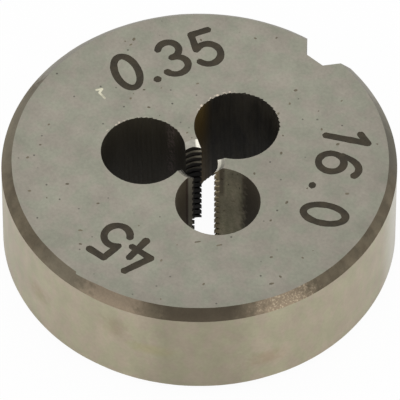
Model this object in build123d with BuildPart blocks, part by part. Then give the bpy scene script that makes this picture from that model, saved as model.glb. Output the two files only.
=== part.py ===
from build123d import *
import os
from math import pi, radians, sin, tan

os.makedirs("parts", exist_ok=True)

# A round threading die for M1.7 x 0.35: one hardened steel disc that cuts an outside
# thread as it is turned down over a rod. All lengths are in millimetres and all angles
# in degrees. The axis of the disc and of its thread is Z, the back face lies on Z = 0,
# the marked front face is on top, and the setting notch points to +Y.

# The disc
outside_diameter = 16.0
thickness = 5.0
rim_chamfer = 0.4

# The thread that it cuts
thread_diameter = 1.7
thread_pitch = 0.35
thread_angle = 60.0

# The leads, which let the rod in from either face
lead_angle = 90.0  # between opposite sides of a cone
lead_margin = 0.2  # how far a cone's mouth stands outside the thread

# The chip holes, and the narrow necks that carry the lands between them
chip_hole_count = 3
chip_hole_circle_diameter = 4.6
neck_width = 0.545
chip_hole_turn = 1.0  # the first hole lies this far past the line of the notch

# The setting notch in the rim
notch_azimuth = 90.0
notch_depth = 0.98
notch_floor_width = 0.9
notch_angle = 78.0  # between its two flanks

# The profile of the thread, as shares of its sharp V and of its pitch. Its roots are
# those of the basic metric profile. Its crests are cut back further than the 5/8 of that
# profile, which leaves the small die free of the bottom of the rod's thread.
crest_share = 0.3
root_flat_share = 1 / 8

# What follows from the sizes above
outside_radius = outside_diameter / 2
root_radius = thread_diameter / 2
v_height = thread_pitch / (2 * tan(radians(thread_angle / 2)))
crest_radius = root_radius - crest_share * v_height
lead_radius = root_radius + lead_margin

chip_hole_circle_radius = chip_hole_circle_diameter / 2
chip_hole_spacing = 2 * chip_hole_circle_radius * sin(pi / chip_hole_count)
chip_hole_radius = (chip_hole_spacing - neck_width) / 2
land_spacing_angle = 360 / chip_hole_count
first_chip_hole_angle = notch_azimuth + chip_hole_turn

front_face = Plane.XY.offset(thickness)
back_face = Plane.XY.rotated((180, 0, 0))

# One turn of the thread across one land. Its section is the metric profile, taken far
# enough inside the crests to break the wall of the bore, but not as far as the next
# turn. Its two ends lie in the open chip holes on either side of the land.
groove_overrun = v_height / 6
groove_inner_radius = crest_radius - groove_overrun
groove_root_half = thread_pitch * root_flat_share / 2
groove_mouth_half = groove_root_half + (root_radius - groove_inner_radius) * tan(radians(thread_angle / 2))
groove_sweep_angle = 0.9 * land_spacing_angle

with BuildPart() as land_groove:
    with BuildLine():
        Helix(
            pitch=thread_pitch,
            height=thread_pitch * groove_sweep_angle / 360,
            radius=crest_radius,
        )
    with BuildSketch(Plane.XZ):
        with BuildLine():
            Polyline(
                (groove_inner_radius, -groove_mouth_half),
                (root_radius, -groove_root_half),
                (root_radius, groove_root_half),
                (groove_inner_radius, groove_mouth_half),
                close=True,
            )
        make_face()
    sweep(is_frenet=True)

# Where that groove starts on each land and on each turn. The turns climb by one pitch
# in a full circle, so the grooves of the lands form one continuous screw thread.
groove_starts = []
turn_count = int(thickness / thread_pitch) + 3
for land in range(chip_hole_count):
    land_azimuth = first_chip_hole_angle + (land + 0.5) * land_spacing_angle
    start_azimuth = land_azimuth - groove_sweep_angle / 2
    climb = thread_pitch * start_azimuth / 360
    for turn in range(turn_count):
        height = climb % thread_pitch + (turn - 1) * thread_pitch
        groove_starts.append(Location((0, 0, height), (0, 0, start_azimuth)))

with BuildPart() as threading_die:
    # The blank, with both edges of its rim broken
    with BuildSketch(Plane.XY):
        Circle(outside_radius)
    extrude(amount=thickness)
    chamfer(threading_die.edges().filter_by(GeomType.CIRCLE), length=rim_chamfer)

    # The setting notch: a flat floor between two flanks that open past the rim
    notch_floor = outside_radius - notch_depth
    notch_mouth = outside_radius + rim_chamfer
    notch_mouth_half = notch_floor_width / 2 + (notch_mouth - notch_floor) * tan(radians(notch_angle / 2))
    with BuildSketch(Plane.XY.rotated((0, 0, notch_azimuth))):
        with BuildLine():
            Polyline(
                (notch_floor, -notch_floor_width / 2),
                (notch_mouth, -notch_mouth_half),
                (notch_mouth, notch_mouth_half),
                (notch_floor, notch_floor_width / 2),
                close=True,
            )
        make_face()
    extrude(amount=thickness, mode=Mode.SUBTRACT)

    # The bore that the thread is cut in, opened into a lead at each face
    with Locations(front_face, back_face):
        CounterSinkHole(
            radius=crest_radius,
            counter_sink_radius=lead_radius,
            counter_sink_angle=lead_angle,
        )

    # The chip holes, which open the bore and part its wall into lands
    with Locations(front_face):
        with PolarLocations(chip_hole_circle_radius, chip_hole_count, start_angle=first_chip_hole_angle):
            Hole(chip_hole_radius)

    # The thread across the lands
    with Locations(*groove_starts):
        add(land_groove.part, mode=Mode.SUBTRACT)

threading_die.part.label = "threading_die"
export_step(threading_die.part, "parts/threading_die.step")
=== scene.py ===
import math
import random

import bmesh
import bpy
from mathutils import Matrix, Vector


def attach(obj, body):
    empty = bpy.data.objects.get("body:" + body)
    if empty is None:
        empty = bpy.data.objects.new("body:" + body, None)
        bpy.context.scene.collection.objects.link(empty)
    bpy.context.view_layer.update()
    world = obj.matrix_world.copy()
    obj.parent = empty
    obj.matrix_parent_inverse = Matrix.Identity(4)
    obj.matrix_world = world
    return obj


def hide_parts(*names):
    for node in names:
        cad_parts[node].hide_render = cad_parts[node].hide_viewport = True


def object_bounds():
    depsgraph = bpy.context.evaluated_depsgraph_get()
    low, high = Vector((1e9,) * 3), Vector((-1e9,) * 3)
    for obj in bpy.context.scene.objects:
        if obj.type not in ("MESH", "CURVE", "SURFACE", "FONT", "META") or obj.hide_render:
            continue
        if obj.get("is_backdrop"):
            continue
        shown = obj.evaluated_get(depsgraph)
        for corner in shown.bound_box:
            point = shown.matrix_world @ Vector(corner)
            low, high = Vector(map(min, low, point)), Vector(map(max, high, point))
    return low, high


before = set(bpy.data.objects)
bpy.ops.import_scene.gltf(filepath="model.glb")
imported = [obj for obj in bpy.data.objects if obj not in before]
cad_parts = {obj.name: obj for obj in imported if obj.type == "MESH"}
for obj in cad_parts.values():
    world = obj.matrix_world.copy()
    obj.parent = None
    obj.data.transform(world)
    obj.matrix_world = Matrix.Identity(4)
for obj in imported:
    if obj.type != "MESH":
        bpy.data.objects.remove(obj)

CAD_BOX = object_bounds()

bl_info = {
    "name": "Round threading die",
    "version": (1, 0, 0),
    "blender": (4, 5, 0),
    "location": "View3D > Sidebar > Die",
    "description": "Builds a ground and engraved round threading die and its stage",
    "category": "Object",
}

MM = 0.001
TURN = 2 * math.pi
NODE = "threading_die"

# How many steps make a full circle on the disc, on a chip hole and on the bore.
DISC_STEPS = 720
HOLE_STEPS = 360
BORE_STEPS = 240
# Edges that bend by more than this, in degrees, look sharp.
SHARP_ANGLE = 30

# Figures etched into the face: what they say, the middle of the line in millimetres, the
# direction of the baseline in degrees, and the gap between them as a share of their
# height. They are the thread's pitch, the disc's diameter and the slope of its chamfers.
FACE_FIGURES = [
    ("0.35", (-4.47, 2.99), 63.7, 0.24),
    ("16.0", (4.69, 3.0), -61.8, 0.42),
    ("45", (0.81, -5.42), -176.7, 0.18),
]
# Scratches in the face: width, depth and finish, and the paths, in millimetres.
FACE_SCRATCHES = {
    "bright_scratch": (
        (0.1, 0.01, "scratch"),
        [[(-5.56, -0.14), (-5.36, 0.13)], [(-5.38, -0.12), (-4.94, -0.2)]],
    ),
    "bright_turn": (
        (0.09, 0.009, "scratch"),
        [[(-5.39, 0.13), (-5.34, -0.18)]],
    ),
    "dark_dashes": (
        (0.07, 0.012, "pit"),
        [[(2.71, -3.3), (2.87, -3.09)], [(3.48, -2.85), (3.61, -2.63)]],
    ),
}
# Torn stretches of the chip holes' rims, hole by hole: the direction of the middle and
# half the width in degrees, the size of the tears as a share of the largest, and how strong
# the painted highlights on the bare burrs beside them are.
TORN_RIMS = [
    [(164, 30, 0.9, 0.9), (80, 48, 1.0, 0.0)],
    [(174, 14, 0.4, 0.8), (126, 34, 0.8, 0.12), (84, 14, 0.9, 0.0)],
    [(130, 24, 0.3, 0.0)],
]
# How many tears there are round each rim, how large they are outside the torn stretches
# as a share of the largest, and over how many degrees a stretch fades out.
TEARS = 54
SMALLEST_TEAR = 0.1
TEAR_FADE = 12
# How far from the centre of a chip hole the wear of its rim and its wall reaches, in
# millimetres.
RIM_REACH = 1.83
# Where the ends of the thread's grooves are torn: the direction in degrees, and how far
# from the axis in millimetres.
THREAD_TEAR = (9.0, 0.87)
# Half the size of one torn end: outwards and along the wall in millimetres, and upwards
# as a share of the pitch.
THREAD_TEAR_SIZE = (0.13, 0.1, 0.2)
# The waves that the filing left in the rim's edges: how many of each go round the disc,
# and the height of one that goes round once, in millimetres.
EDGE_WAVES = (3, 5, 8, 13, 21, 34, 89)
EDGE_WAVER = 0.011
# How the front chamfer narrows towards one side: the direction of that side in degrees,
# and what its width loses all round, what it loses there and gains on the far side, and
# what it loses in a short stretch there alone, in millimetres.
EDGE_LOSS = (50, 0.008, 0.04, 0.03)
# Where a nick in the front edge has left the chamfer narrow: the direction of its deep
# end and the width that it spans, in degrees, and its depth in millimetres.
EDGE_NICK = (-88.2, 9, 0.1)
# The radii of a pit's cutter at its floor and at its top, as shares of the pit's own
# radius, which is that halfway up.
PIT_FLOOR = 0.6
PIT_MOUTH = 1.4
# The depth of the larger pits, in millimetres, and where each of them is, its length and
# width, in millimetres, and its heading in degrees. The fine pores are sown by pore_tree.
PIT_DEPTH = 0.015
FACE_PITS = [
    ((-4.5, 1.3), 0.27, 0.17, 42),
    ((-4.1, 1.2), 0.12, 0.08, 42),
    ((-4.2, 0.5), 0.12, 0.10, 102),
    ((-6.2, 2.9), 0.18, 0.12, 112),
    ((-6.1, 2.6), 0.15, 0.08, 82),
    ((-2.7, 2.9), 0.14, 0.08, 62),
    ((-1.1, -5.9), 0.20, 0.09, 42),
    ((0.5, 5.3), 0.16, 0.12, 62),
    ((4.1, 0.7), 0.18, 0.10, 102),
    ((-3.1, -4.5), 0.16, 0.10, 42),
    ((6.4, -2.8), 0.22, 0.10, 57),
    ((5.5, -1.8), 0.14, 0.09, 50),
]
# Stretches of the front chamfer that are darker or more worn than the rest, and a painted
# reflection on the far side: direction, half width and softness in degrees, strength, and colour.
RIM_BANDS = [
    (-152, 16, 18, 0.7, (122, 115, 98)),
    (-92, 9, 16, 0.7, (122, 114, 98)),
    (-74, 9, 8, 0.75, (150, 135, 116)),
    (-48, 13, 12, 0.85, (77, 69, 57)),
    (-23, 8, 10, 0.85, (156, 140, 119)),
    (49, 12, 12, 1.0, (101, 97, 85)),
    (62, 6, 12, 1.0, (120, 116, 104)),
    # A painted reflection, lighter over the whole far side
    (127, 61, 8, 1.0, (142, 138, 127)),
]
# Stains down the walls of the chip holes, hole by hole, in the same terms.
HOLE_STAINS = [
    [(197, 20, 24, 1.0, (88, 70, 30))],
    [(150, 80, 40, 0.6, (62, 56, 42))],
    [
        (203, 28, 16, 1.0, (101, 91, 73)),
        (178.5, 2, 2, 0.7, (70, 50, 42)),
        (65, 40, 16, 1.0, (76, 68, 55)),
    ],
]
# Stripes of painted light over the stains of the last hole, beside its lands: a painted reflection
# and a lit edge.
HOLE_STRIPES = [
    (171.8, 4.3, 3, 1.0, (142, 136, 120)),
    (135, 5, 4, 0.7, (168, 150, 120)),
]
# Faint stains on the wall: direction and height of the middle, half the width and half
# the height, in degrees and millimetres, and colour.
WALL_STAINS = [
    (-102, 2.3, 3, 0.5, (146, 128, 96)),
    (-73, 3.3, 3, 0.6, (148, 129, 104)),
    (-62, 2.5, 5, 0.3, (174, 168, 120)),
    (-28, 1.7, 4, 0.4, (164, 140, 112)),
]

# How much of the floor's own shade gives way to white, in the camera's sight and in
# mirrored light.
FLOOR_WHITE_SEEN = 0.96
FLOOR_WHITE_MIRRORED = 0.4
# Where the lamp hangs: how far up, to the left and towards the camera from the middle of
# the back face, and how wide it is, in metres.
LAMP_PLACE = (0.25, 0.08, 0.05)
LAMP_WIDTH = 0.2


# ---------------------------------------------------------------------------
# Sizes and colours that a user can change
# ---------------------------------------------------------------------------


def length(name, description, millimetres):
    """A length property, its default given in millimetres."""
    return bpy.props.FloatProperty(
        name=name,
        description=description,
        default=millimetres * MM,
        min=0.0,
        precision=5,
        subtype="DISTANCE",
        unit="LENGTH",
    )


def angle(name, description, degrees):
    """An angle property, its default given in degrees."""
    return bpy.props.FloatProperty(
        name=name,
        description=description,
        default=math.radians(degrees),
        subtype="ANGLE",
        unit="ROTATION",
    )


def colour(name, description, red, green, blue):
    """A colour property, its default given as it looks on a screen, from 0 to 255."""
    return bpy.props.FloatVectorProperty(
        name=name,
        description=description,
        default=screen(red, green, blue),
        size=3,
        min=0.0,
        max=1.0,
        subtype="COLOR",
    )


def screen(red, green, blue):
    """A colour given as it looks on a screen, from 0 to 255."""
    return [linear(c) for c in (red, green, blue)]


def linear(channel):
    """The amount of light in one channel of a screen colour."""
    share = channel / 255
    return share / 12.92 if share <= 0.04045 else ((share + 0.055) / 1.055) ** 2.4


class DieSizes(bpy.types.PropertyGroup):
    # The disc takes its radius and thickness from the solid that it stands for.
    radius: length("Radius", "Outside radius of the disc", -CAD_BOX[0].y / MM)
    thickness: length("Thickness", "From the back face to the front face", CAD_BOX[1].z / MM)
    chamfer: length("Chamfer", "Width of the broken edges of the rim", 0.4)
    hole_radius: length("Chip hole radius", "Radius of each chip hole", 1.719)
    hole_circle: length("Chip hole circle", "From the axis to the centre of a chip hole", 2.3)
    hole_azimuth: angle("First chip hole", "Direction of the first chip hole", 91)
    holes: bpy.props.IntProperty(
        name="Chip holes", description="How many chip holes there are", default=3, min=2
    )
    burr: length("Rim tears", "How far the drill tore the rims of the chip holes", 0.07)
    notch_azimuth: angle("Notch", "Direction of the setting notch", 90)
    notch_depth: length("Notch depth", "From the outside down to the notch's floor", 0.98)
    notch_floor: length("Notch floor", "Width of the notch's floor", 0.9)
    notch_angle: angle("Notch angle", "Between the flanks of the notch", 78)


class ThreadSizes(bpy.types.PropertyGroup):
    root: length("Root radius", "Radius at the bottom of the thread's grooves", 0.85)
    pitch: length("Pitch", "From one turn of the thread to the next", 0.35)
    angle: angle("Thread angle", "Between the flanks of a groove", 60)
    lead: length("Lead radius", "Radius of the mouths of the leads in both faces", 1.05)
    height: bpy.props.FloatProperty(
        name="Height", description="Height of the threads, as a share of their sharp V", default=0.3
    )

    def crest(self):
        """The radius of the crests, which is also that of the bore."""
        return self.root - self.height * self.sharp_height()

    def sharp_height(self):
        """How deep the groove would be if its flanks met in a sharp edge."""
        return self.pitch / (2 * math.tan(self.angle / 2))


class MarkSizes(bpy.types.PropertyGroup):
    height: length("Height", "Height of the figures, between the middles of their strokes", 1.73)
    stroke: length("Stroke", "Width of the engraved strokes", 0.32)
    depth: length("Depth", "Depth of the engraved strokes", 0.03)


class FinishColours(bpy.types.PropertyGroup):
    face: colour("Faces", "Ground faces", 156, 153, 140)
    wall: colour("Wall", "Ground outside of the disc", 179, 171, 150)
    chamfer: colour("Chamfer", "Blackened edges of the rim", 102, 95, 79)
    hole: colour("Chip holes", "Blackened walls of the chip holes", 42, 38, 30)
    thread: colour("Thread", "Cut steel of the crests of the thread", 186, 178, 156)
    lead: colour("Lead", "Bright cones of the leads", 170, 167, 156)
    scratch: colour("Bright scratch", "Bare metal of the fresh scratch", 205, 201, 178)
    mark: colour("Marks", "Floor of the engraved figures", 58, 51, 37)


class StageSettings(bpy.types.PropertyGroup):
    camera_azimuth: angle("Azimuth", "Direction that the camera looks along, from +Y", 42)
    camera_elevation: angle("Elevation", "How far the camera looks down", 51.4)
    camera_distance: length("Distance", "From the camera to the point that it looks at", 328.67)
    camera_lens: bpy.props.FloatProperty(
        name="Lens", description="Focal length on a 36 mm sensor, in millimetres", default=736.0
    )
    look_right: length("Look right", "How far right of the axis the camera looks", 0.03)
    look_near: length("Look near", "How far in front of the axis the camera looks", 2.097)
    world_level: bpy.props.FloatProperty(
        name="Surroundings", description="Strength of the even light all round", default=1.0
    )
    key_level: bpy.props.FloatProperty(
        name="Key light", description="Power of the large lamp overhead, in watts", default=0.02
    )


# ---------------------------------------------------------------------------
# Node helpers, for shader trees and geometry trees alike
# ---------------------------------------------------------------------------

FLOAT = "NodeSocketFloat"
INTEGER = "NodeSocketInt"
VECTOR = "NodeSocketVector"
GEOMETRY = "NodeSocketGeometry"
MATERIAL = "NodeSocketMaterial"


def plug(tree, node, feeds):
    """Feeds a node's inputs from plain values or from other sockets."""
    for name, value in feeds.items():
        socket = node.inputs[name]
        if isinstance(value, bpy.types.NodeSocket):
            tree.links.new(value, socket)
        else:
            socket.default_value = value


def put(tree, kind, feeds=None, **settings):
    """Adds a node, sets its properties and feeds its inputs."""
    node = tree.nodes.new(kind)
    for name, value in settings.items():
        setattr(node, name, value)
    plug(tree, node, feeds or {})
    return node


def calc(tree, operation, *values, clamp=False):
    """Arithmetic on numbers or sockets."""
    feeds = dict(enumerate(values))
    return put(tree, "ShaderNodeMath", feeds, operation=operation, use_clamp=clamp).outputs[0]


def times(tree, one, other):
    """The product of two numbers or sockets."""
    return calc(tree, "MULTIPLY", one, other)


def distance(tree, across, along):
    """How far a point is from an upright line."""
    squares = calc(tree, "ADD", times(tree, across, across), times(tree, along, along))
    return calc(tree, "SQRT", squares)


def vector_calc(tree, operation, *values):
    """Arithmetic on vectors."""
    feeds = dict(enumerate(values))
    return put(tree, "ShaderNodeVectorMath", feeds, operation=operation).outputs["Vector"]


def upright(tree, height):
    """A vector that points up."""
    return put(tree, "ShaderNodeCombineXYZ", {2: height}).outputs[0]


def step(tree, value, low, high):
    """Rises smoothly from 0 at low to 1 at high. Low may be the larger of the two."""
    feeds = {"Value": value, "From Min": low, "From Max": high}
    return put(tree, "ShaderNodeMapRange", feeds, interpolation_type="SMOOTHSTEP").outputs[0]


def blend(tree, mask, under, over, mode="MIX"):
    """Mixes two colours, from the one under at a mask of 0 to the one over at 1."""
    feeds = {0: mask, 6: under, 7: over}
    return put(tree, "ShaderNodeMix", feeds, data_type="RGBA", blend_type=mode).outputs[2]


def cloud(tree, place, scale, detail=2.0, roughness=0.5):
    """Soft noise about 0.5. Scale is how many clouds lie along one unit of place."""
    feeds = {"Vector": place, "Scale": scale, "Detail": detail, "Roughness": roughness}
    return put(tree, "ShaderNodeTexNoise", feeds).outputs[0]


def new_group(name, kind, inputs, outputs):
    """A node group with named sockets. Returns its tree and the sockets to build from."""
    tree = bpy.data.node_groups.new(name, kind)
    for label, (socket, default) in inputs.items():
        made = tree.interface.new_socket(label, in_out="INPUT", socket_type=socket)
        if default is not None:
            made.default_value = default
    for label, socket in outputs.items():
        tree.interface.new_socket(label, in_out="OUTPUT", socket_type=socket)
    return tree, tree.nodes.new("NodeGroupInput").outputs, tree.nodes.new("NodeGroupOutput")


def spaced(feeds):
    """Values by the names of their sockets, which have spaces."""
    return {name.replace("_", " "): value for name, value in feeds.items()}


def use_group(tree, name, **feeds):
    """The outputs of a shared node group, fed by the names of its inputs."""
    group = bpy.data.node_groups[name]
    return put(tree, "ShaderNodeGroup", spaced(feeds), node_tree=group).outputs


# ---------------------------------------------------------------------------
# Effects that several finishes share
# ---------------------------------------------------------------------------


def build_place_group():
    """A point's place on the die, its distance from the axis and height, in millimetres."""
    outputs = {"Place": VECTOR, "Radius": FLOAT, "Height": FLOAT}
    tree, _, out = new_group("Die place", "ShaderNodeTree", {}, outputs)
    here = put(tree, "ShaderNodeTexCoord").outputs["Object"]
    place = vector_calc(tree, "MULTIPLY", here, (1 / MM, 1 / MM, 1 / MM))
    x, y, z = put(tree, "ShaderNodeSeparateXYZ", {0: place}).outputs
    plug(tree, out, {"Place": place, "Radius": distance(tree, x, y), "Height": z})


def build_sector_group():
    """1 in the directions near a given one, seen from an upright line, and 0 elsewhere.

    Past the reach, in millimetres from that line, it is 0 as well.
    """
    inputs = {
        "Centre X": (FLOAT, 0.0),
        "Centre Y": (FLOAT, 0.0),
        "Direction": (FLOAT, 0.0),
        "Half Width": (FLOAT, 20.0),
        "Softness": (FLOAT, 4.0),
        "Wander": (FLOAT, 0.0),
        "Reach": (FLOAT, 100.0),
    }
    tree, given, out = new_group("Sector", "ShaderNodeTree", inputs, {"Mask": FLOAT})
    place = use_group(tree, "Die place")["Place"]
    x, y, _ = put(tree, "ShaderNodeSeparateXYZ", {0: place}).outputs
    across = calc(tree, "SUBTRACT", x, given["Centre X"])
    along = calc(tree, "SUBTRACT", y, given["Centre Y"])
    heading = calc(tree, "DEGREES", calc(tree, "ARCTAN2", along, across))
    off = calc(tree, "SUBTRACT", heading, given["Direction"])
    off = calc(tree, "ABSOLUTE", calc(tree, "WRAP", off, 180.0, -180.0))
    ragged = calc(tree, "SUBTRACT", cloud(tree, place, 5.0, 4.0), 0.5)
    off = calc(tree, "ADD", off, times(tree, ragged, given["Wander"]))
    inside = calc(tree, "SUBTRACT", given["Half Width"], off)
    low = times(tree, given["Softness"], -0.5)
    high = times(tree, given["Softness"], 0.5)
    turned = step(tree, inside, low, high)
    near = calc(tree, "LESS_THAN", distance(tree, across, along), given["Reach"])
    plug(tree, out, {"Mask": times(tree, turned, near)})


def build_tarnish_group():
    """The uneven colour of old steel: soft blotches, a fine grain and small dark specks."""
    inputs = {"Stretch": (FLOAT, 1.0), "Blotch Size": (FLOAT, 1.2), "Grain Size": (FLOAT, 0.12)}
    outputs = {"Blotch": FLOAT, "Tint": FLOAT, "Grain": FLOAT, "Specks": FLOAT}
    tree, given, out = new_group("Tarnish", "ShaderNodeTree", inputs, outputs)
    place = use_group(tree, "Die place")["Place"]
    shape = put(tree, "ShaderNodeCombineXYZ", {0: 1.0, 1: 1.0, 2: given["Stretch"]}).outputs[0]
    drawn = vector_calc(tree, "MULTIPLY", place, shape)
    moved = vector_calc(tree, "ADD", drawn, (31.0, 17.0, 5.0))
    blotches = calc(tree, "DIVIDE", 1.0, given["Blotch Size"])
    grains = calc(tree, "DIVIDE", 1.0, given["Grain Size"])
    sown = put(tree, "ShaderNodeTexVoronoi", {"Vector": place, "Scale": 2.2}).outputs
    chance = put(tree, "ShaderNodeSeparateColor", {0: sown["Color"]}).outputs[0]
    kept = step(tree, chance, 0.72, 0.78)
    spot = step(tree, sown["Distance"], 0.13, 0.05)
    feeds = {
        "Blotch": cloud(tree, drawn, blotches, 3.0, 0.55),
        "Tint": cloud(tree, moved, times(tree, blotches, 1.7)),
        "Grain": cloud(tree, place, grains, 2.0, 0.6),
        "Specks": times(tree, kept, spot),
    }
    plug(tree, out, feeds)


def build_shared_effects():
    build_place_group()
    build_sector_group()
    build_tarnish_group()


# ---------------------------------------------------------------------------
# Finishes
# ---------------------------------------------------------------------------


def new_finish(name):
    """An empty material with its Principled shader. Returns material, tree and shader."""
    material = bpy.data.materials.new(name)
    material.use_nodes = True
    tree = material.node_tree
    return material, tree, tree.nodes["Principled BSDF"]


def opaque(values, gain=1.0):
    """A full colour from three channels, made darker or lighter by a gain."""
    return (*(min(1.0, v * gain) for v in values), 1.0)


def bump(tree, height, depth):
    """Surface relief. Height goes from 0 to 1 over the given depth in metres."""
    feeds = {"Height": height, "Distance": depth, "Strength": 1.0}
    return put(tree, "ShaderNodeBump", feeds).outputs[0]


def shaded(tree, skin, share):
    """A colour made darker or lighter by a share."""
    shades = put(tree, "ShaderNodeCombineColor", {0: share, 1: share, 2: share}).outputs[0]
    return blend(tree, 1.0, skin, shades, "MULTIPLY")


def level(tree, value, low, high):
    """Maps a value from 0 to 1 onto the range from low to high."""
    feeds = {"Value": value, "To Min": low, "To Max": high}
    return put(tree, "ShaderNodeMapRange", feeds).outputs[0]


def mottled(tree, base, cloudy, dark, light):
    """A colour that goes from a darker to a lighter share of itself with a cloud."""
    return blend(tree, step(tree, cloudy, 0.35, 0.65), opaque(base, dark), opaque(base, light))


def sector(tree, direction, half_width, softness, wander=0.0, **line):
    """1 around a direction in degrees, seen from the axis or from another upright line."""
    feeds = {"Direction": direction, "Half_Width": half_width, "Softness": softness}
    return use_group(tree, "Sector", Wander=wander, **feeds, **line)["Mask"]


def wash(tree, skin, mask, strength, shade):
    """Lays a screen colour over the skin where the mask is, at a strength from 0 to 1."""
    return blend(tree, times(tree, mask, strength), skin, opaque(screen(*shade)))


def banded(tree, skin, rows, wander=0.0, **line):
    """Washes the skin in sectors: direction, half width, softness, strength and colour."""
    for direction, half_width, softness, strength, shade in rows:
        band = sector(tree, direction, half_width, softness, wander, **line)
        skin = wash(tree, skin, band, strength, shade)
    return skin


def polish(tree, shader, skin, grain, roughness, metallic, relief=0.0):
    """Feeds a finish's shader. Roughness is a range, and relief is in millimetres."""
    rough = level(tree, grain, *roughness)
    feeds = {"Base Color": skin, "Roughness": rough, "Metallic": metallic}
    if relief:
        feeds["Normal"] = bump(tree, grain, relief * MM)
    plug(tree, shader, feeds)


def ground_face_finish(colours, holes):
    """Ground steel in faint clouds, dimmer towards the rim, with painted highlights on the bare
    burrs beside torn rims.
    """
    material, tree, shader = new_finish("ground_face")
    base = Vector(colours.face)
    tarnish = use_group(tree, "Tarnish")
    green = opaque((base.x * 0.965, base.y, base.z * 0.98))
    pink = opaque((base.x * 1.035, base.y, base.z * 1.02))
    skin = blend(tree, step(tree, tarnish["Tint"], 0.38, 0.62), green, pink)
    skin = shaded(tree, skin, level(tree, tarnish["Blotch"], 0.8, 1.2))
    skin = shaded(tree, skin, level(tree, tarnish["Grain"], 0.8, 1.2))
    outer = step(tree, use_group(tree, "Die place")["Radius"], 6.6, 7.6)
    dim = calc(tree, "ADD", outer, sector(tree, 0.0, 62.0, 40.0))
    skin = blend(tree, times(tree, dim, 0.08), skin, opaque(base, 0.1))
    skin = blend(tree, tarnish["Specks"], skin, opaque(base, 0.35))
    # Painted highlights on the bare burrs beside the torn stretches of the rims
    burr_glint = step(tree, tarnish["Grain"], 0.5, 0.62)
    for hole, stretches in zip(holes, TORN_RIMS):
        for middle, half, _, shine in stretches:
            torn = times(tree, sector(tree, middle, half, 10.0, **hole), burr_glint)
            skin = wash(tree, skin, torn, shine, (222, 208, 190))
    polish(tree, shader, skin, tarnish["Grain"], (0.42, 0.6), 1.0, 0.002)
    return material


def rim_chamfer_finish(colours):
    """Blackened, but worn and rubbed bare in places and greyer towards the notch, and lighter on
    the far side with a painted reflection.
    """
    material, tree, shader = new_finish("blackened_chamfer")
    tarnish = use_group(tree, "Tarnish", Blotch_Size=0.6, Grain_Size=0.07)
    skin = mottled(tree, colours.chamfer, tarnish["Blotch"], 0.8, 1.14)
    skin = wash(tree, skin, tarnish["Tint"], 0.25, (118, 96, 78))
    # Darker and worn stretches, and a painted reflection over the far side
    skin = banded(tree, skin, RIM_BANDS, 12.0)
    rubbed = sector(tree, -22.0, 7.0, 10.0, 16.0)
    sparkle = times(tree, step(tree, tarnish["Grain"], 0.5, 0.7), rubbed)
    skin = wash(tree, skin, sparkle, 0.6, (206, 192, 166))
    skin = shaded(tree, skin, level(tree, tarnish["Grain"], 0.72, 1.28))
    skin = shaded(tree, skin, level(tree, tarnish["Blotch"], 0.9, 1.1))
    outward = step(tree, use_group(tree, "Die place")["Radius"], 7.7, 7.98)
    skin = shaded(tree, skin, level(tree, outward, 0.96, 1.13))
    polish(tree, shader, skin, tarnish["Grain"], (0.45, 0.7), 0.85, 0.004)
    return material


def ground_wall_finish(colours):
    """Ground steel with faint stains, with painted shade in front and a painted reflection that
    makes its right paler.
    """
    material, tree, shader = new_finish("ground_wall")
    base = Vector(colours.wall)
    tarnish = use_group(tree, "Tarnish", Stretch=0.7, Blotch_Size=0.9, Grain_Size=0.14)
    olive = opaque((base.x * 0.98, base.y * 1.01, base.z * 0.95))
    pink = opaque((base.x * 1.03, base.y * 0.985, base.z))
    skin = blend(tree, step(tree, tarnish["Tint"], 0.38, 0.62), olive, pink)
    height = use_group(tree, "Die place")["Height"]
    for direction, middle, half_width, half_height, shade in WALL_STAINS:
        off = calc(tree, "ABSOLUTE", calc(tree, "SUBTRACT", height, middle))
        along = step(tree, off, 1.5 * half_height, 0.3 * half_height)
        stain = times(tree, sector(tree, direction, half_width, 8.0, 8.0), along)
        skin = wash(tree, skin, stain, 0.4, shade)
    skin = shaded(tree, skin, level(tree, tarnish["Blotch"], 0.82, 1.18))
    skin = shaded(tree, skin, level(tree, tarnish["Grain"], 0.88, 1.12))
    # Painted shade on the front, which faces the camera, and a painted reflection on the right
    front = times(tree, sector(tree, -48.0, 15.0, 12.0, 5.0), 0.22)
    skin = blend(tree, front, skin, opaque(base, 0.1))
    skin = wash(tree, skin, sector(tree, 40.0, 16.0, 14.0, 4.0), 0.7, (214, 212, 202))
    polish(tree, shader, skin, tarnish["Grain"], (0.38, 0.5), 1.0, 0.002)
    return material


def lit_bare_hole_steel(tree, tarnish, height, streaks, base):
    """Bare steel in a hole, painted as lit, streaked and spotted, with painted shade that dims it
    near the front face.
    """
    dull, pale = opaque(screen(146, 144, 116)), opaque(screen(196, 184, 158))
    steel = blend(tree, tarnish["Tint"], dull, pale)
    steel = shaded(tree, steel, level(tree, tarnish["Blotch"], 0.45, 1.5))
    steel = shaded(tree, steel, level(tree, streaks, 0.88, 1.08))
    # Painted shade, darker towards the front face
    steel = shaded(tree, steel, level(tree, step(tree, height, 4.9, 3.2), 0.55, 1.15))
    dirt = step(tree, use_group(tree, "Tarnish", Blotch_Size=0.22)["Blotch"], 0.64, 0.7)
    return blend(tree, times(tree, dirt, 0.7), steel, opaque(base))


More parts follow.
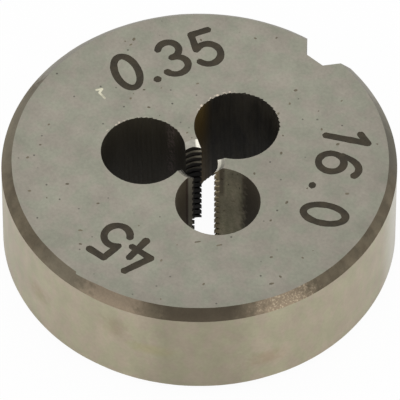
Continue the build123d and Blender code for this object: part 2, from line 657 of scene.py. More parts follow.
def chip_hole_finish(colours, holes):
    """Blackened by the hardening, with what rust and rubbing have left on it, and painted light and
    shade on the far side of the last hole.
    """
    material, tree, shader = new_finish("blackened_hole")
    base = colours.hole
    tarnish = use_group(tree, "Tarnish", Stretch=0.3, Blotch_Size=0.5, Grain_Size=0.1)
    height = use_group(tree, "Die place")["Height"]
    streaks = step(tree, tarnish["Grain"], 0.42, 0.62)
    skin = mottled(tree, base, tarnish["Blotch"], 0.7, 1.5)
    for hole, stains in zip(holes, HOLE_STAINS):
        skin = banded(tree, skin, stains, **hole)

    # The second hole is scuffed in a band below its middle
    scuffed = times(tree, streaks, step(tree, height, 1.5, 2.4))
    scuffed = times(tree, scuffed, sector(tree, 91.0, 7.0, 12.0, **holes[1]))
    skin = wash(tree, skin, scuffed, 0.6, (112, 98, 94))

    # The far side of the last hole is bare steel painted as lit, with a short painted shade beside
    # one land
    last = holes[-1]
    steel = lit_bare_hole_steel(tree, tarnish, height, streaks, base)
    skin = blend(tree, sector(tree, 119.0, 22.0, 18.0, 26.0, **last), skin, steel)
    shade = times(tree, sector(tree, 127.0, 3.5, 5.0, **last), step(tree, height, 3.0, 3.5))
    skin = wash(tree, skin, shade, 0.6, (72, 56, 46))
    # Painted light: a reflection and a lit edge beside the lands
    skin = banded(tree, skin, HOLE_STRIPES, **last)

    polish(tree, shader, skin, tarnish["Grain"], (0.5, 0.75), 0.5, 0.006)
    return material


def thread_finish(colours, thread):
    """Bright upper edges on the threads, with painted shade in the grooves and under the edges."""
    material, tree, shader = new_finish("cut_thread")
    base, dark_brown, shade_black, bare = colours.thread, (38, 33, 27), (24, 21, 17), (186, 172, 138)
    place = use_group(tree, "Die place")
    tarnish = use_group(tree, "Tarnish", Blotch_Size=0.4, Grain_Size=0.06)
    grain = step(tree, tarnish["Grain"], 0.3, 0.7)
    skin = blend(tree, grain, opaque(base, 0.7), opaque(base, 1.1))
    skin = shaded(tree, skin, level(tree, tarnish["Blotch"], 0.5, 1.3))

    # Painted shade lies in the grooves, from just behind the crests down to the roots
    crest, root = thread.crest() / MM, thread.root / MM
    deep = step(tree, place["Radius"], crest + 0.012, (crest + 2 * root) / 3)
    skin = wash(tree, skin, deep, 1.0, dark_brown)

    # Painted shade on the lower part of each turn too. Rise is 0 where a turn starts and 1 at the
    # next
    x, y, _ = put(tree, "ShaderNodeSeparateXYZ", {0: place["Place"]}).outputs
    heading = calc(tree, "DIVIDE", calc(tree, "ARCTAN2", y, x), TURN)
    turns = calc(tree, "DIVIDE", place["Height"], thread.pitch / MM)
    rise = calc(tree, "FRACT", calc(tree, "SUBTRACT", turns, heading))
    skin = wash(tree, skin, step(tree, rise, 0.66, 0.5), 1.0, dark_brown)

    # One land is brighter and the other two are duller, with painted shade that blackens parts of
    # them
    dull = calc(tree, "SUBTRACT", 1.0, sector(tree, 128.0, 14.0, 26.0))
    skin = wash(tree, skin, dull, 0.65, dark_brown)
    below = step(tree, place["Height"], 4.1, 3.2)
    low = times(tree, sector(tree, 151.0, 50.0, 6.0), below)
    near = times(tree, sector(tree, 271.0, 50.0, 6.0), 0.9)
    skin = wash(tree, skin, calc(tree, "MAXIMUM", near, low), 1.0, shade_black)

    # Painted light on the edges of the teeth at the torn corner of one land
    corner = times(tree, sector(tree, 7.0, 8.0, 4.0), step(tree, rise, 0.55, 0.7))
    skin = wash(tree, skin, corner, 1.0, bare)
    polish(tree, shader, skin, tarnish["Grain"], (0.5, 0.7), 0.4)
    return material


def lead_finish(colours):
    """Ground cones, with painted highlights on a stretch of each of two lands."""
    material, tree, shader = new_finish("bright_lead")
    radius = use_group(tree, "Die place")["Radius"]
    tarnish = use_group(tree, "Tarnish", Blotch_Size=0.4, Grain_Size=0.08)
    highlight_cream = (254, 250, 236)
    skin = mottled(tree, colours.lead, tarnish["Blotch"], 0.85, 1.15)
    # Painted highlights on the cones of two lands
    skin = wash(tree, skin, sector(tree, 130.0, 11.0, 5.0), 1.0, highlight_cream)
    inner = times(tree, sector(tree, 31.0, 40.0, 5.0), step(tree, radius, 0.93, 0.85))
    skin = wash(tree, skin, inner, 1.0, highlight_cream)
    polish(tree, shader, skin, tarnish["Grain"], (0.35, 0.55), 0.9)
    return material


def plain_finish(name, shade, metallic, roughness, relief):
    """One mottled colour, for small places. Relief is in millimetres."""
    material, tree, shader = new_finish(name)
    tarnish = use_group(tree, "Tarnish", Blotch_Size=0.4, Grain_Size=0.08)
    skin = mottled(tree, shade, tarnish["Blotch"], 0.8, 1.2)
    polish(tree, shader, skin, tarnish["Grain"], roughness, metallic, relief)
    return material


def make_finishes(scene):
    """All the materials of the die, by name."""
    colours = scene.die_colours
    holes = [
        {"Centre_X": x / MM, "Centre_Y": y / MM, "Reach": RIM_REACH}
        for x, y in hole_places(scene.die_sizes)
    ]
    greyer = [1.3 * c for c in colours.chamfer]
    build_shared_effects()
    return {
        "face": ground_face_finish(colours, holes),
        "chamfer": rim_chamfer_finish(colours),
        "wall": ground_wall_finish(colours),
        "hole": chip_hole_finish(colours, holes),
        "thread": thread_finish(colours, scene.die_thread),
        "lead": lead_finish(colours),
        "mark": plain_finish("etched_mark", colours.mark, 0.3, (0.6, 0.85), 0.004),
        "notch": plain_finish("milled_notch", colours.chamfer, 0.9, (0.4, 0.6), 0.003),
        "scratch": plain_finish("bright_scratch", colours.scratch, 0.2, (0.5, 0.6), 0.001),
        "pit": plain_finish("dark_pit", greyer, 0.3, (0.6, 0.8), 0.003),
    }


# ---------------------------------------------------------------------------
# Shapes
# ---------------------------------------------------------------------------


def mesh_of(made, name, finishes=()):
    """Turns what a bmesh holds into a plain mesh in these finishes."""
    mesh = bpy.data.meshes.new(name)
    made.to_mesh(mesh)
    made.free()
    for finish in finishes:
        mesh.materials.append(finish)
    return mesh


def ring_solid(name, rings, finishes, segments, centre=(0.0, 0.0)):
    """A closed solid of stacked rings about an upright line, capped at both ends.

    Each ring is a function of the direction that gives a radius and a height. The
    finishes are those of the lower cap, of each band from below, and of the upper cap.
    """
    made = bmesh.new()
    loops = []
    for ring in rings:
        loop = []
        for i in range(segments):
            heading = TURN * i / segments
            radius, height = ring(heading)
            x = centre[0] + radius * math.cos(heading)
            y = centre[1] + radius * math.sin(heading)
            loop.append(made.verts.new((x, y, height)))
        loops.append(loop)
    slots = list(dict.fromkeys(finishes))
    made.faces.new(loops[0][::-1]).material_index = slots.index(finishes[0])
    for band, (low, high) in enumerate(zip(loops, loops[1:]), 1):
        for i in range(segments):
            j = (i + 1) % segments
            face = made.faces.new((low[i], low[j], high[j], high[i]))
            face.material_index = slots.index(finishes[band])
    made.faces.new(loops[-1]).material_index = slots.index(finishes[-1])
    return mesh_of(made, name, slots)


def steady(radius, height):
    """A ring that is a plain circle."""
    return lambda heading: (radius, height)


def object_of(mesh):
    """An object in the scene that holds the mesh."""
    solid = bpy.data.objects.new(mesh.name, mesh)
    bpy.context.scene.collection.objects.link(solid)
    return solid


def evaluated_mesh(solid, name):
    """The plain mesh that an object's modifiers make."""
    bpy.context.view_layer.update()
    depsgraph = bpy.context.evaluated_depsgraph_get()
    mesh = bpy.data.meshes.new_from_object(solid.evaluated_get(depsgraph))
    mesh.name = name
    return mesh


def discard(solid):
    """Removes an object and its mesh."""
    mesh = solid.data
    bpy.data.objects.remove(solid)
    bpy.data.meshes.remove(mesh)


def new_cutter_tree(name, inputs):
    """A geometry tree that makes a cutter. Its finish is the last of its inputs."""
    inputs = {**inputs, "Finish": (MATERIAL, None)}
    return new_group(name, "GeometryNodeTree", inputs, {"Geometry": GEOMETRY})


def end_cutter_tree(tree, out, cutter, finish):
    """Makes the cutter one plain mesh in its finish, and ends the tree there."""
    cutter = put(tree, "GeometryNodeRealizeInstances", {0: cutter}).outputs[0]
    feeds = {"Geometry": cutter, "Material": finish}
    cutter = put(tree, "GeometryNodeSetMaterial", feeds).outputs[0]
    plug(tree, out, {"Geometry": cutter})


def run_tree(source, tree, name, **inputs):
    """Runs a geometry tree on a source object, and returns the solid that it makes."""
    modifier = source.modifiers.new(tree.name, "NODES")
    modifier.node_group = tree
    values = spaced(inputs)
    for item in tree.interface.items_tree:
        if item.in_out == "INPUT" and item.name in values:
            modifier[item.identifier] = values[item.name]
    mesh = evaluated_mesh(source, name)
    source.modifiers.clear()
    discard(source)
    return object_of(mesh)


def blank_mesh(sizes, finishes):
    """The turned disc, with the broken edges of its rim filed a little unevenly."""
    radius, top, edge = sizes.radius, sizes.thickness, sizes.chamfer
    waver = random.Random(7)
    waves = [(n, waver.uniform(0, TURN), EDGE_WAVER * MM / math.sqrt(n)) for n in EDGE_WAVES]
    nick_start, nick_span, nick_depth = EDGE_NICK
    lost_side, lost_all_round, lost_wide, lost_middle = EDGE_LOSS

    def filed(heading):
        return sum(size * math.sin(n * heading + phase) for n, phase, size in waves)

    def inner_edge(heading):
        past = (math.degrees(heading) - nick_start) % 360
        nick = nick_depth * max(0.0, 1 - past / nick_span)
        facing = math.cos(heading - math.radians(lost_side))
        lost = lost_all_round + lost_wide * facing + lost_middle * max(0.0, facing) ** 16
        return filed(heading) + (nick + lost) * MM

    # The edges of the wall take the waves from further round, so that they don't run alike
    rings = [
        lambda h: (radius - edge + filed(h), 0.0),
        lambda h: (radius, edge + filed(h + 1.0)),
        lambda h: (radius, top - edge + filed(h + 2.0)),
        lambda h: (radius - edge + inner_edge(h), top),
    ]
    skins = [finishes[k] for k in ("face", "chamfer", "wall", "chamfer", "face")]
    return ring_solid("die", rings, skins, DISC_STEPS)


def hole_places(sizes):
    """The centres of the chip holes, in order round the axis."""
    for i in range(sizes.holes):
        heading = sizes.hole_azimuth + TURN * i / sizes.holes
        yield sizes.hole_circle * math.cos(heading), sizes.hole_circle * math.sin(heading)


def torn_edge(number, burr):
    """How far a chip hole's rim is torn outwards in each direction, tear by tear."""
    luck = random.Random(20 + number)
    tears = [luck.uniform(0.45, 1) for _ in range(TEARS)]
    stretches = TORN_RIMS[number % len(TORN_RIMS)]

    def torn(heading):
        size = SMALLEST_TEAR
        for middle, half, share, _ in stretches:
            off = abs((math.degrees(heading) - middle + 180) % 360 - 180)
            inside = (half + TEAR_FADE / 2 - off) / TEAR_FADE
            size = max(size, share * min(1.0, max(0.0, inside)))
        at = heading / TURN * TEARS
        return burr * size * tears[int(at) % TEARS] * (1 - at % 1)

    return torn


def chip_hole_cutters(sizes, finishes):
    """One drill for each chip hole, whose rims are torn where it entered and left."""
    radius, top, burr = sizes.hole_radius, sizes.thickness, sizes.burr
    for number, centre in enumerate(hole_places(sizes)):
        torn = torn_edge(number, burr)
        rings = [
            lambda h, t=torn: (radius + t(h), -burr),
            lambda h, t=torn: (radius + t(h), 0.0),
            steady(radius, burr),
            steady(radius, top - burr),
            lambda h, t=torn: (radius + t(h), top),
            lambda h, t=torn: (radius + t(h), top + burr),
        ]
        skins = [finishes["hole"]] * (len(rings) + 1)
        yield object_of(ring_solid(f"chip_hole_{number}", rings, skins, HOLE_STEPS, centre))


def bore_cutter(sizes, thread, finishes):
    """The bore: the crests of the thread, between the cones of the two leads."""
    top, crest, beyond = sizes.thickness, thread.crest(), 0.2 * MM
    rings = [
        steady(thread.lead + beyond, -beyond),
        steady(crest, thread.lead - crest),
        steady(crest, top - (thread.lead - crest)),
        steady(thread.lead + beyond, top + beyond),
    ]
    skins = [finishes[k] for k in ("lead", "lead", "thread", "lead", "lead")]
    return object_of(ring_solid("bore", rings, skins, BORE_STEPS))


def notch_cutter(sizes, finishes):
    """A wedge with a flat nose that mills the setting notch."""
    floor, mouth = sizes.radius - sizes.notch_depth, sizes.radius + sizes.chamfer
    near = sizes.notch_floor / 2
    far = near + (mouth - floor) * math.tan(sizes.notch_angle / 2)
    outline = [(floor, -near), (mouth, -far), (mouth, far), (floor, near)]
    turn = Matrix.Rotation(sizes.notch_azimuth, 3, "Z")
    bottom, top = -sizes.chamfer, sizes.thickness + sizes.chamfer
    made = bmesh.new()
    low = [made.verts.new(turn @ Vector((x, y, bottom))) for x, y in outline]
    high = [made.verts.new(turn @ Vector((x, y, top))) for x, y in outline]
    made.faces.new(low[::-1])
    made.faces.new(high)
    for i in range(4):
        j = (i + 1) % 4
        made.faces.new((low[i], low[j], high[j], high[i]))
    return object_of(mesh_of(made, "notch", [finishes["notch"]]))


def thread_tree():
    """A groove of a thread's section, swept along a right-hand helix."""
    inputs = {
        "Pitch": (FLOAT, 0.35 * MM),
        "Turns": (FLOAT, 16.0),
        "Root Radius": (FLOAT, 0.85 * MM),
        "Inner Radius": (FLOAT, 0.61 * MM),
        "Root Width": (FLOAT, 0.044 * MM),
        "Mouth Width": (FLOAT, 0.3 * MM),
    }
    tree, given, out = new_cutter_tree("Thread groove", inputs)
    depth = calc(tree, "SUBTRACT", given["Root Radius"], given["Inner Radius"])
    middle = calc(tree, "MULTIPLY_ADD", depth, 0.5, given["Inner Radius"])
    feeds = {
        "Resolution": 96,
        "Rotations": given["Turns"],
        "Start Radius": middle,
        "End Radius": middle,
        "Height": times(tree, given["Pitch"], given["Turns"]),
        "Reverse": True,
    }
    helix = put(tree, "GeometryNodeCurveSpiral", feeds).outputs[0]
    feeds = {"Geometry": helix, "Translation": upright(tree, times(tree, given["Pitch"], -1.0))}
    helix = put(tree, "GeometryNodeTransform", feeds).outputs[0]
    helix = put(tree, "GeometryNodeSetCurveNormal", {0: helix}, mode="Z_UP").outputs[0]
    feeds = {
        "Bottom Width": given["Mouth Width"],
        "Top Width": given["Root Width"],
        "Height": depth,
        "Offset": 0.0,
    }
    shape = "GeometryNodeCurvePrimitiveQuadrilateral"
    section = put(tree, shape, feeds, mode="TRAPEZOID").outputs[0]
    feeds = {"Geometry": section, "Rotation": (0.0, 0.0, TURN / 4)}
    section = put(tree, "GeometryNodeTransform", feeds).outputs[0]
    feeds = {"Curve": helix, "Profile Curve": section, "Fill Caps": True}
    groove = put(tree, "GeometryNodeCurveToMesh", feeds).outputs[0]
    end_cutter_tree(tree, out, groove, given["Finish"])
    return tree


def thread_cutter(sizes, thread, finishes):
    """The tap: its groove starts a turn below the die and ends a turn above it.

    The groove's floor is an eighth of the pitch wide, as on metric threads, and its mouth
    lies a little inside the bore.
    """
    inner = thread.crest() - thread.sharp_height() / 6
    root_width = thread.pitch / 8
    mouth_width = root_width + 2 * (thread.root - inner) * math.tan(thread.angle / 2)
    return run_tree(
        object_of(bpy.data.meshes.new("tap")),
        thread_tree(),
        "tap",
        Pitch=thread.pitch,
        Turns=float(math.ceil(sizes.thickness / thread.pitch) + 2),
        Root_Radius=thread.root,
        Inner_Radius=inner,
        Root_Width=root_width,
        Mouth_Width=mouth_width,
        Finish=finishes["thread"],
    )


def nick_tree():
    """A row of small hollows, one above the other and a pitch apart."""
    inputs = {
        "Nick": (GEOMETRY, None),
        "Count": (INTEGER, 12),
        "Pitch": (FLOAT, 0.35 * MM),
    }
    tree, given, out = new_cutter_tree("Row of nicks", inputs)
    feeds = {"Count": given["Count"], "Offset": upright(tree, given["Pitch"])}
    row = put(tree, "GeometryNodeMeshLine", feeds).outputs[0]
    feeds = {"Points": row, "Instance": given["Nick"]}
    nicks = put(tree, "GeometryNodeInstanceOnPoints", feeds).outputs[0]
    end_cutter_tree(tree, out, nicks, given["Finish"])
    return tree


def nick_cutter(sizes, thread, finishes):
    """The grooves' ends, torn wider where they break out of one land into a chip hole."""
    heading, reach = math.radians(THREAD_TEAR[0]), THREAD_TEAR[1] * MM
    outward, sideways, upward = THREAD_TEAR_SIZE
    first = thread.pitch * (1 + heading / TURN)
    grow = Matrix.Diagonal((outward * MM, sideways * MM, upward * thread.pitch, 1.0))
    turn = Matrix.Rotation(heading, 4, "Z")
    place = Matrix.Translation((reach * math.cos(heading), reach * math.sin(heading), first))
    made = bmesh.new()
    bmesh.ops.create_icosphere(made, subdivisions=2, radius=1.0, matrix=place @ turn @ grow)
    return run_tree(
        object_of(mesh_of(made, "nick")),
        nick_tree(),
        "nicks",
        Count=int((sizes.thickness - 2 * thread.pitch) / thread.pitch),
        Pitch=thread.pitch,
        Finish=finishes["thread"],
    )


def arc(centre, reach, start, end, points=14):
    """Points along part of an ellipse, from the start angle to the end angle in degrees."""
    made = []
    for i in range(points + 1):
        heading = math.radians(start + (end - start) * i / points)
        x = centre[0] + reach[0] * math.cos(heading)
        y = centre[1] + reach[1] * math.sin(heading)
        made.append((x, y))
    return made


# The strokes of each figure, which is one unit high. No stroke crosses itself or the one
# after the next, so that a first pass can cut the odd strokes and a second the even ones.
FIGURES = {
    "0": [arc((0.3, 0.5), (0.27, 0.5), 0, 360, 32)],
    "1": [[(0.28, 0.0), (0.28, 1.0)], [(0.28, 1.0), (0.06, 0.78)]],
    "3": [
        arc((0.27, 0.76), (0.25, 0.24), 155, -90),
        arc((0.27, 0.26), (0.29, 0.26), 90, -155),
    ],
    "4": [
        [(0.26, 1.0), (0.02, 0.34)],
        [(0.02, 0.34), (0.56, 0.34)],
        [(0.42, 0.62), (0.42, 0.0)],
    ],
    "5": [
        arc((0.26, 0.31), (0.3, 0.31), 130, -150, 18),
        [(0.05, 0.53), (0.1, 1.0)],
        [(0.1, 1.0), (0.52, 1.0)],
    ],
    "6": [
        arc((0.3, 0.3), (0.27, 0.3), 180, 540, 28),
        arc((0.4, 0.36), (0.36, 0.62), 165, 62),
    ],
    ".": [[(0.04, 0.03), (0.06, 0.03)]],
}
# How wide the narrow figures and all the others are, in the same units.
FIGURE_WIDTHS = {"1": 0.32, ".": 0.1}
FIGURE_WIDTH = 0.6


def figure_strokes(text, spacing):
    """The strokes of a line of figures one unit high, with the middle of the line at 0, 0.

    Each comes with the number of the pass that cuts it, 0 or 1.
    """
    strokes, pen = [], 0.0
    for figure in text:
        for number, stroke in enumerate(FIGURES[figure]):
            strokes.append((number % 2, [(pen + x, y - 0.5) for x, y in stroke]))
        pen += FIGURE_WIDTHS.get(figure, FIGURE_WIDTH) + spacing
    middle = (pen - spacing) / 2
    return [(number, [(x - middle, y) for x, y in stroke]) for number, stroke in strokes]


def closed(stroke):
    """Whether a stroke ends where it starts."""
    return math.dist(stroke[0], stroke[-1]) < 1e-9


def lengthened(stroke, by):
    """The stroke with both its ends moved outwards, unless it closes on itself."""
    if closed(stroke):
        return stroke
    points = [Vector(point) for point in stroke]
    points[0] += (points[0] - points[1]).normalized() * by
    points[-1] += (points[-1] - points[-2]).normalized() * by
    return [tuple(point) for point in points]


def stroke_lines(name, strokes, height):
    """A mesh of bare edges that run along the strokes at the given height."""
    points, edges = [], []
    for stroke in strokes:
        first = len(points)
        points.extend((x, y, height) for x, y in (stroke[:-1] if closed(stroke) else stroke))
        edges.extend((i, i + 1) for i in range(first, len(points) - 1))
        if closed(stroke):
            edges.append((len(points) - 1, first))
    mesh = bpy.data.meshes.new(name)
    mesh.from_pydata(points, edges, [])
    return object_of(mesh)


def placed(stroke, size, centre, baseline):
    """A stroke grown to a size in metres, turned to a baseline and moved to a centre."""
    across = Vector((math.cos(baseline), math.sin(baseline)))
    up = Vector((-across.y, across.x))
    return [tuple(Vector(centre) + (across * x + up * y) * size) for x, y in stroke]


def stroke_tree():
    """A shallow groove of rounded section along every line, with round ends."""
    inputs = {
        "Lines": (GEOMETRY, None),
        "Width": (FLOAT, 0.3 * MM),
        "Depth": (FLOAT, 0.03 * MM),
        "Spacing": (FLOAT, 0.06 * MM),
        "Unevenness": (FLOAT, 0.1),
    }
    tree, given, out = new_cutter_tree("Engraved stroke", inputs)
    lines = put(tree, "GeometryNodeMeshToCurve", {"Mesh": given["Lines"]}).outputs[0]
    feeds = {"Curve": lines, "Length": given["Spacing"]}
    lines = put(tree, "GeometryNodeResampleCurve", feeds, mode="LENGTH").outputs[0]
    lines = put(tree, "GeometryNodeSetCurveNormal", {0: lines}, mode="Z_UP").outputs[0]

    # The section: a flat ellipse, turned so that a side and no corner is at its bottom
    half, corners = times(tree, given["Width"], 0.5), 12
    feeds = {"Resolution": corners, "Radius": 1.0}
    section = put(tree, "GeometryNodeCurvePrimitiveCircle", feeds).outputs[0]
    feeds = {"Geometry": section, "Rotation": (0.0, 0.0, TURN / corners / 2)}
    section = put(tree, "GeometryNodeTransform", feeds).outputs[0]
    flat = put(tree, "ShaderNodeCombineXYZ", {0: half, 1: given["Depth"], 2: 1.0}).outputs[0]
    feeds = {"Geometry": section, "Scale": flat}
    section = put(tree, "GeometryNodeTransform", feeds).outputs[0]

    # The taper: round within half a width of an end, and none on a closed line
    along = put(tree, "GeometryNodeSplineParameter").outputs["Length"]
    whole = put(tree, "GeometryNodeSplineLength").outputs["Length"]
    nearest = calc(tree, "MINIMUM", along, calc(tree, "SUBTRACT", whole, along))
    short = calc(tree, "SUBTRACT", 1.0, calc(tree, "DIVIDE", nearest, half, clamp=True))
    taper = calc(tree, "SQRT", calc(tree, "SUBTRACT", 1.0, times(tree, short, short)))
    endless = put(tree, "GeometryNodeInputSplineCyclic").outputs[0]
    taper = calc(tree, "MAXIMUM", calc(tree, "MAXIMUM", taper, 0.08), endless)

    here = put(tree, "GeometryNodeInputPosition").outputs[0]
    ragged = calc(tree, "SUBTRACT", cloud(tree, here, 2.5 / MM), 0.5)
    swell = calc(tree, "MULTIPLY_ADD", ragged, given["Unevenness"], 1.0)
    swell = times(tree, swell, taper)
    feeds = {"Curve": lines, "Profile Curve": section, "Scale": swell, "Fill Caps": True}
    groove = put(tree, "GeometryNodeCurveToMesh", feeds).outputs[0]
    end_cutter_tree(tree, out, groove, given["Finish"])
    return tree


def engraving_cutters(sizes, marks, finishes):
    """The figures of the face in two passes, and the few scratches in it."""
    tree, top = stroke_tree(), sizes.thickness
    passes = [[], []]
    for text, centre, baseline, spacing in FACE_FIGURES:
        centre = [c * MM for c in centre]
        for number, stroke in figure_strokes(text, spacing):
            line = placed(stroke, marks.height, centre, math.radians(baseline))
            passes[number].append(lengthened(line, marks.stroke / 2))
    for number, strokes in enumerate(passes):
        # The second pass is a little smaller, so that no two faces of the two coincide
        name, share = f"figures_{number}", 1 - 0.04 * number
        yield run_tree(
            stroke_lines(name, strokes, top),
            tree,
            name,
            Width=marks.stroke * share,
            Depth=marks.depth * share,
            Unevenness=0.45,
            Finish=finishes["mark"],
        )
    for name, ((width, depth, finish), paths) in FACE_SCRATCHES.items():
        strokes = [[(x * MM, y * MM) for x, y in path] for path in paths]
        yield run_tree(
            stroke_lines(name, strokes, top),
            tree,
            name,
            Width=width * MM,
            Depth=depth * MM,
            Spacing=0.03 * MM,
            Unevenness=0.6,
            Finish=finishes[finish],
        )


def pit_cutters(sizes, finishes):
    """Blunt cones, sunk half their height into the front face."""
    made = bmesh.new()
    for (x, y), long, wide, heading in FACE_PITS:
        turn = Matrix.Rotation(math.radians(heading), 4, "Z")
        grow = Matrix.Diagonal((long / 2 * MM, wide / 2 * MM, 2 * PIT_DEPTH * MM, 1.0))
        place = Matrix.Translation((x * MM, y * MM, sizes.thickness)) @ turn @ grow
        bmesh.ops.create_cone(
            made,
            cap_ends=True,
            segments=11,
            radius1=PIT_FLOOR,
            radius2=PIT_MOUTH,
            depth=1.0,
            matrix=place,
        )
    return object_of(mesh_of(made, "pits", [finishes["pit"]]))


def pore_tree():
    """Shallow pores strewn over a face at random, with a fixed seed."""
    inputs = {
        "Face": (GEOMETRY, None),
        "Per Area": (FLOAT, 0.28 / MM / MM),
        "Apart": (FLOAT, 0.4 * MM),
        "Smallest": (FLOAT, 0.02 * MM),
        "Largest": (FLOAT, 0.06 * MM),
        "Depth": (FLOAT, 0.5),
    }
    tree, given, out = new_cutter_tree("Strewn pores", inputs)
    feeds = {
        "Mesh": given["Face"],
        "Distance Min": given["Apart"],
        "Density Max": given["Per Area"],
        "Seed": 11,
    }
    sown = put(tree, "GeometryNodeDistributePointsOnFaces", feeds, distribute_method="POISSON")

    # Sockets 2, 3 and 8 of this node are the least and the most that it gives, and its seed
    feeds = {2: given["Smallest"], 3: given["Largest"], 8: 3}
    size = put(tree, "FunctionNodeRandomValue", feeds, data_type="FLOAT").outputs[1]
    feeds = {2: 0.0, 3: TURN, 8: 5}
    turn = upright(tree, put(tree, "FunctionNodeRandomValue", feeds, data_type="FLOAT").outputs[1])
    feeds = {0: times(tree, size, 1.5), 1: size, 2: times(tree, size, given["Depth"])}
    grow = put(tree, "ShaderNodeCombineXYZ", feeds).outputs[0]

    # Each pore is a blunt cone like the larger pits
    feeds = {"Vertices": 9, "Radius Top": PIT_MOUTH, "Radius Bottom": PIT_FLOOR, "Depth": 1.0}
    pore = put(tree, "GeometryNodeMeshCone", feeds).outputs["Mesh"]
    feeds = {"Geometry": pore, "Translation": (0.0, 0.0, -0.5)}
    pore = put(tree, "GeometryNodeTransform", feeds).outputs[0]
    feeds = {"Points": sown.outputs[0], "Instance": pore, "Rotation": turn, "Scale": grow}
    pores = put(tree, "GeometryNodeInstanceOnPoints", feeds).outputs[0]
    end_cutter_tree(tree, out, pores, given["Finish"])
    return tree


def pore_cutter(sizes, finishes):
    """The pores, sown on a flat disc that keeps them clear of the chamfer."""
    reach, top, corners = sizes.radius - 1.5 * sizes.chamfer, sizes.thickness, 48
    headings = [TURN * i / corners for i in range(corners)]
    ring = [(reach * math.cos(h), reach * math.sin(h), top) for h in headings]
    mesh = bpy.data.meshes.new("pores")
    mesh.from_pydata(ring, [], [tuple(range(corners))])
    return run_tree(object_of(mesh), pore_tree(), "pores", Finish=finishes["pit"])


def straighten(mesh):
    """Dissolves the corners that lie along a straight edge between just two faces."""
    made = bmesh.new()
    made.from_mesh(mesh)
    needless = [corner for corner in made.verts if len(corner.link_edges) == 2]
    bmesh.ops.dissolve_verts(made, verts=needless)
    made.to_mesh(mesh)
    made.free()


def cut(blank, cutters, name):
    """The blank with every cutter taken out of it, as one plain mesh."""
    for cutter in cutters:
        modifier = blank.modifiers.new(cutter.name, "BOOLEAN")
        modifier.object = cutter
        modifier.operation = "DIFFERENCE"
        modifier.solver = "MANIFOLD"
        modifier.material_mode = "TRANSFER"
    mesh = evaluated_mesh(blank, name)
    straighten(mesh)
    blank.modifiers.clear()
    discard(blank)
    for cutter in cutters:
        discard(cutter)
    return object_of(mesh)


def keep_flat(mesh, finishes):
    """Leaves the faces of these finishes flat, as their cut edges would bend their shine."""
    flat = {i for i, finish in enumerate(mesh.materials) if finish in finishes}
    for face in mesh.polygons:
        face.use_smooth = face.material_index not in flat


class MakeDie(bpy.types.Operator):
    """Turns, drills, taps and engraves the die, and gives it its finishes"""

    bl_idname = "die.make_die"
    bl_label = "Make the die"

    def execute(self, context):
        scene = context.scene
        sizes, thread = scene.die_sizes, scene.die_thread
        finishes = make_finishes(scene)
        blank = object_of(blank_mesh(sizes, finishes))
        cutters = list(chip_hole_cutters(sizes, finishes))
        cutters.append(bore_cutter(sizes, thread, finishes))
        cutters.append(notch_cutter(sizes, finishes))
        cutters.append(thread_cutter(sizes, thread, finishes))
        cutters.append(nick_cutter(sizes, thread, finishes))
        cutters.extend(engraving_cutters(sizes, scene.die_marks, finishes))
        cutters.append(pit_cutters(sizes, finishes))
        cutters.append(pore_cutter(sizes, finishes))
        die = cut(blank, cutters, "ground_die")
        die.data.shade_smooth()
        die.data.set_sharp_from_angle(angle=math.radians(SHARP_ANGLE))
        keep_flat(die.data, [finishes[k] for k in ("face", "thread", "lead")])
        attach(die, "root")
        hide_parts(NODE)
        return {"FINISHED"}


# ---------------------------------------------------------------------------
# Stage
# ---------------------------------------------------------------------------


def floor_finish():
    """A pale floor that is white to the camera and keeps the soft shadow."""
    material = bpy.data.materials.new("pale_floor")
    material.use_nodes = True
    tree = material.node_tree
    tree.nodes.clear()
    path = put(tree, "ShaderNodeLightPath").outputs
    seen = calc(tree, "MAXIMUM", path["Is Camera Ray"], path["Is Transmission Ray"])
    seen = times(tree, seen, FLOOR_WHITE_SEEN)
    mirrored = times(tree, path["Is Glossy Ray"], FLOOR_WHITE_MIRRORED)
    share = calc(tree, "MAXIMUM", seen, mirrored)
    matt = put(tree, "ShaderNodeBsdfDiffuse", {"Color": (0.85, 0.85, 0.85, 1.0)}).outputs[0]
    feeds = {"Color": (1.0, 1.0, 1.0, 1.0), "Strength": 1.0}
    white = put(tree, "ShaderNodeEmission", feeds).outputs[0]
    surface = put(tree, "ShaderNodeMixShader", {0: share, 1: matt, 2: white}).outputs[0]
    put(tree, "ShaderNodeOutputMaterial", {"Surface": surface})
    return material


def make_floor():
    """A square floor, sunk by a hair so that it isn't in the plane of the back face."""
    reach, height = 1.0, -0.002 * MM
    corners = [(-reach, -reach), (reach, -reach), (reach, reach), (-reach, reach)]
    mesh = bpy.data.meshes.new("floor")
    mesh.from_pydata([(x, y, height) for x, y in corners], [], [(0, 1, 2, 3)])
    mesh.materials.append(floor_finish())
    object_of(mesh)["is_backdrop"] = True


def hang_lamp(place, power):
    """A round lamp that faces the middle of the back face."""
    lamp = bpy.data.lights.new("key", "AREA")
    lamp.shape, lamp.size, lamp.energy = "DISK", LAMP_WIDTH, power
    holder = bpy.data.objects.new("key", lamp)
    bpy.context.scene.collection.objects.link(holder)
    holder.location = place
    holder.rotation_euler = (-place).to_track_quat("-Z", "Y").to_euler()


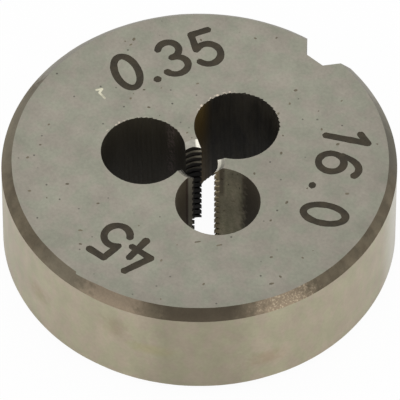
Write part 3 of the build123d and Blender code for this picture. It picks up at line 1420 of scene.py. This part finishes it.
def make_camera(settings, thickness):
    """The camera, looking along its azimuth and down at a point of the front face.

    Returns the level directions to its right and ahead of it.
    """
    azimuth, elevation = settings.camera_azimuth, settings.camera_elevation
    right = Vector((math.cos(azimuth), math.sin(azimuth), 0.0))
    ahead = Vector((-math.sin(azimuth), math.cos(azimuth), 0.0))
    back = Vector((0, 0, 1)) * math.sin(elevation) - ahead * math.cos(elevation)
    up = back.cross(right)
    target = right * settings.look_right - ahead * settings.look_near + Vector((0, 0, thickness))
    camera = bpy.data.cameras.new("camera")
    camera.lens, camera.sensor_width = settings.camera_lens, 36.0
    camera.clip_start, camera.clip_end = 0.01, 10.0
    holder = bpy.data.objects.new("camera", camera)
    bpy.context.scene.collection.objects.link(holder)
    turned = Matrix((right, up, back)).transposed().to_4x4()
    holder.matrix_world = Matrix.Translation(target + back * settings.camera_distance) @ turned
    bpy.context.scene.camera = holder
    return right, ahead


def make_surroundings(strength):
    """Even white light from all round."""
    world = bpy.data.worlds.new("studio")
    world.use_nodes = True
    background = world.node_tree.nodes["Background"]
    background.inputs["Color"].default_value = (1.0, 1.0, 1.0, 1.0)
    background.inputs["Strength"].default_value = strength
    bpy.context.scene.world = world


class MakeStage(bpy.types.Operator):
    """Lays the pale floor, sets the camera and hangs the lamp"""

    bl_idname = "die.make_stage"
    bl_label = "Make the stage"

    def execute(self, context):
        scene, settings = context.scene, context.scene.die_stage
        make_floor()
        right, ahead = make_camera(settings, scene.die_sizes.thickness)
        up, left, near = LAMP_PLACE
        hang_lamp(Vector((0, 0, up)) - right * left - ahead * near, settings.key_level)
        make_surroundings(settings.world_level)
        scene.view_settings.view_transform = "Standard"
        return {"FINISHED"}


class DiePanel(bpy.types.Panel):
    """Lists what can be made and the sizes and colours it is made with"""

    bl_idname = "VIEW3D_PT_die"
    bl_label = "Round threading die"
    bl_space_type = "VIEW_3D"
    bl_region_type = "UI"
    bl_category = "Die"

    def draw(self, context):
        layout = self.layout
        for operator in (MakeDie, MakeStage):
            layout.operator(operator.bl_idname)
        for group in GROUPS:
            settings = getattr(context.scene, group)
            for name in settings.__annotations__:
                layout.prop(settings, name)


GROUPS = {
    "die_sizes": DieSizes,
    "die_thread": ThreadSizes,
    "die_marks": MarkSizes,
    "die_colours": FinishColours,
    "die_stage": StageSettings,
}
CLASSES = (*GROUPS.values(), MakeDie, MakeStage, DiePanel)


def register():
    for each in CLASSES:
        bpy.utils.register_class(each)
    for name, group in GROUPS.items():
        setattr(bpy.types.Scene, name, bpy.props.PointerProperty(type=group))


def unregister():
    for name in GROUPS:
        delattr(bpy.types.Scene, name)
    for each in reversed(CLASSES):
        bpy.utils.unregister_class(each)


def main():
    register()
    bpy.ops.die.make_die()
    bpy.ops.die.make_stage()
    boxes = {"cad": CAD_BOX, "visual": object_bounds()}
    {name: [list(corner) for corner in box] for name, box in boxes.items()}


if __name__ == "__main__":
    main()
